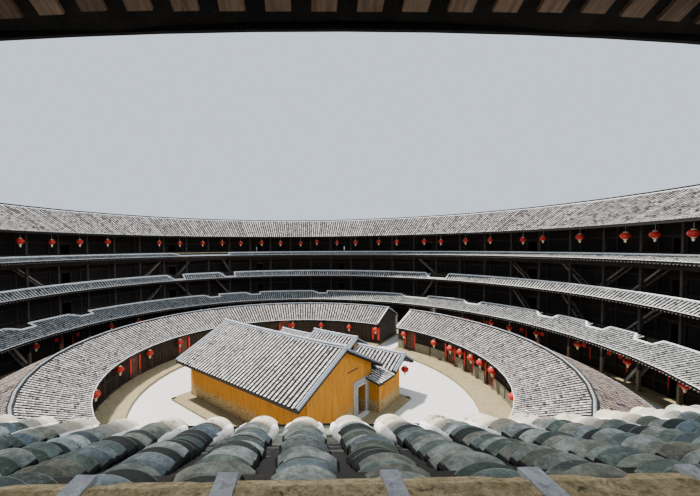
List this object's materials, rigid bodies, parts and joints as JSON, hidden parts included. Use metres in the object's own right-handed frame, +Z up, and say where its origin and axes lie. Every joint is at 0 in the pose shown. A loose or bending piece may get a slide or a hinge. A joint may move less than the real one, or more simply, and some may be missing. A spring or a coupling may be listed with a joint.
{
  "type": "tulou roundhouse, 1:2 scale model",
  "caption": "Round earth house with timber galleries, tiled ring roofs, an inner ring with swinging doors and a hall in the courtyard.",
  "frame": {"origin": "centre of the rings, at ground level", "axes": "+Z up, -Y towards the gate, +X to the left of someone looking out of the gate"},
  "size_m": [36.2338, 36.2338, 8.2151],
  "materials": {
    "rammed_earth": "rough, warm buff",
    "ochre_plaster": "matte limewash",
    "granite": "rough",
    "dark_timber": "weathered, dark",
    "door_boards": "worn",
    "grey_tile": "fired clay, matte"
  },
  "bodies": {
    "house": {"back_wall": "rammed_earth", "floor_2": "dark_timber", "floor_3": "dark_timber", "floor_4": "dark_timber", "front_hall_left_roof": "grey_tile", "front_hall_middle_roof": "grey_tile", "front_hall_right_roof": "grey_tile", "front_hall_walls": "ochre_plaster", "front_wall_left": "rammed_earth", "front_wall_over_gate": "rammed_earth", "front_wall_right": "rammed_earth", "gallery_posts_back": "dark_timber", "gallery_posts_front": "dark_timber", "gallery_posts_left": "dark_timber", "gallery_posts_right": "dark_timber", "gallery_rail_2": "dark_timber", "gallery_rail_3": "dark_timber", "gallery_rail_4": "dark_timber", "gate_frame": "granite", "gate_leaf_left": "door_boards", "gate_leaf_right": "door_boards", "ground_floor": "granite", "hall_apron": "granite", "inner_ring_back_wall_left": "rammed_earth", "inner_ring_back_wall_right": "rammed_earth", "inner_ring_front_left": "dark_timber", "inner_ring_front_right": "dark_timber", "inner_ring_platform_left": "granite", "inner_ring_platform_right": "granite", "inner_ring_roof_left": "grey_tile", "inner_ring_roof_right": "grey_tile", "left_ring_door_1": "door_boards", "left_ring_door_2": "door_boards", "left_ring_door_3": "door_boards", "left_stair": "dark_timber", "left_wall": "rammed_earth", "left_wing_roof": "grey_tile", "main_hall_roof": "grey_tile", "main_hall_walls": "ochre_plaster", "main_roof_back": "grey_tile", "main_roof_front": "grey_tile", "main_roof_left": "grey_tile", "main_roof_right": "grey_tile", "right_stair": "dark_timber", "right_wall": "rammed_earth", "right_wing_roof": "grey_tile", "room_fronts_1": "dark_timber", "room_fronts_2": "dark_timber", "room_fronts_3": "dark_timber", "room_fronts_4": "dark_timber", "side_door_frame": "granite", "skirt_roof_2": "grey_tile", "skirt_roof_3": "grey_tile", "skirt_roof_4": "grey_tile", "stone_base_left": "granite", "stone_base_right": "granite"},
    "right_ring_door_1": {"right_ring_door_1": "door_boards"},
    "right_ring_door_2": {"right_ring_door_2": "door_boards"},
    "right_ring_door_3": {"right_ring_door_3": "door_boards"},
    "right_ring_door_4": {"right_ring_door_4": "door_boards"}
  },
  "joints": [
    {"name": "right_door_1_swing", "type": "hinge", "parent": "house", "child": "right_ring_door_1", "pos_m": [-1.13128, -7.72593, 0.5], "axis": [0, 0, 1], "range_deg": [0, 90]},
    {"name": "right_door_2_swing", "type": "hinge", "parent": "house", "child": "right_ring_door_2", "pos_m": [-3.62123, -6.91784, 0.5], "axis": [0, 0, 1], "range_deg": [0, 90]},
    {"name": "right_door_3_swing", "type": "hinge", "parent": "house", "child": "right_ring_door_3", "pos_m": [-4.68068, -6.24988, 0.5], "axis": [0, 0, 1], "range_deg": [0, 90]},
    {"name": "right_door_4_swing", "type": "hinge", "parent": "house", "child": "right_ring_door_4", "pos_m": [-5.78722, -5.24193, 0.5], "axis": [0, 0, 1], "range_deg": [0, 90]}
  ]
}
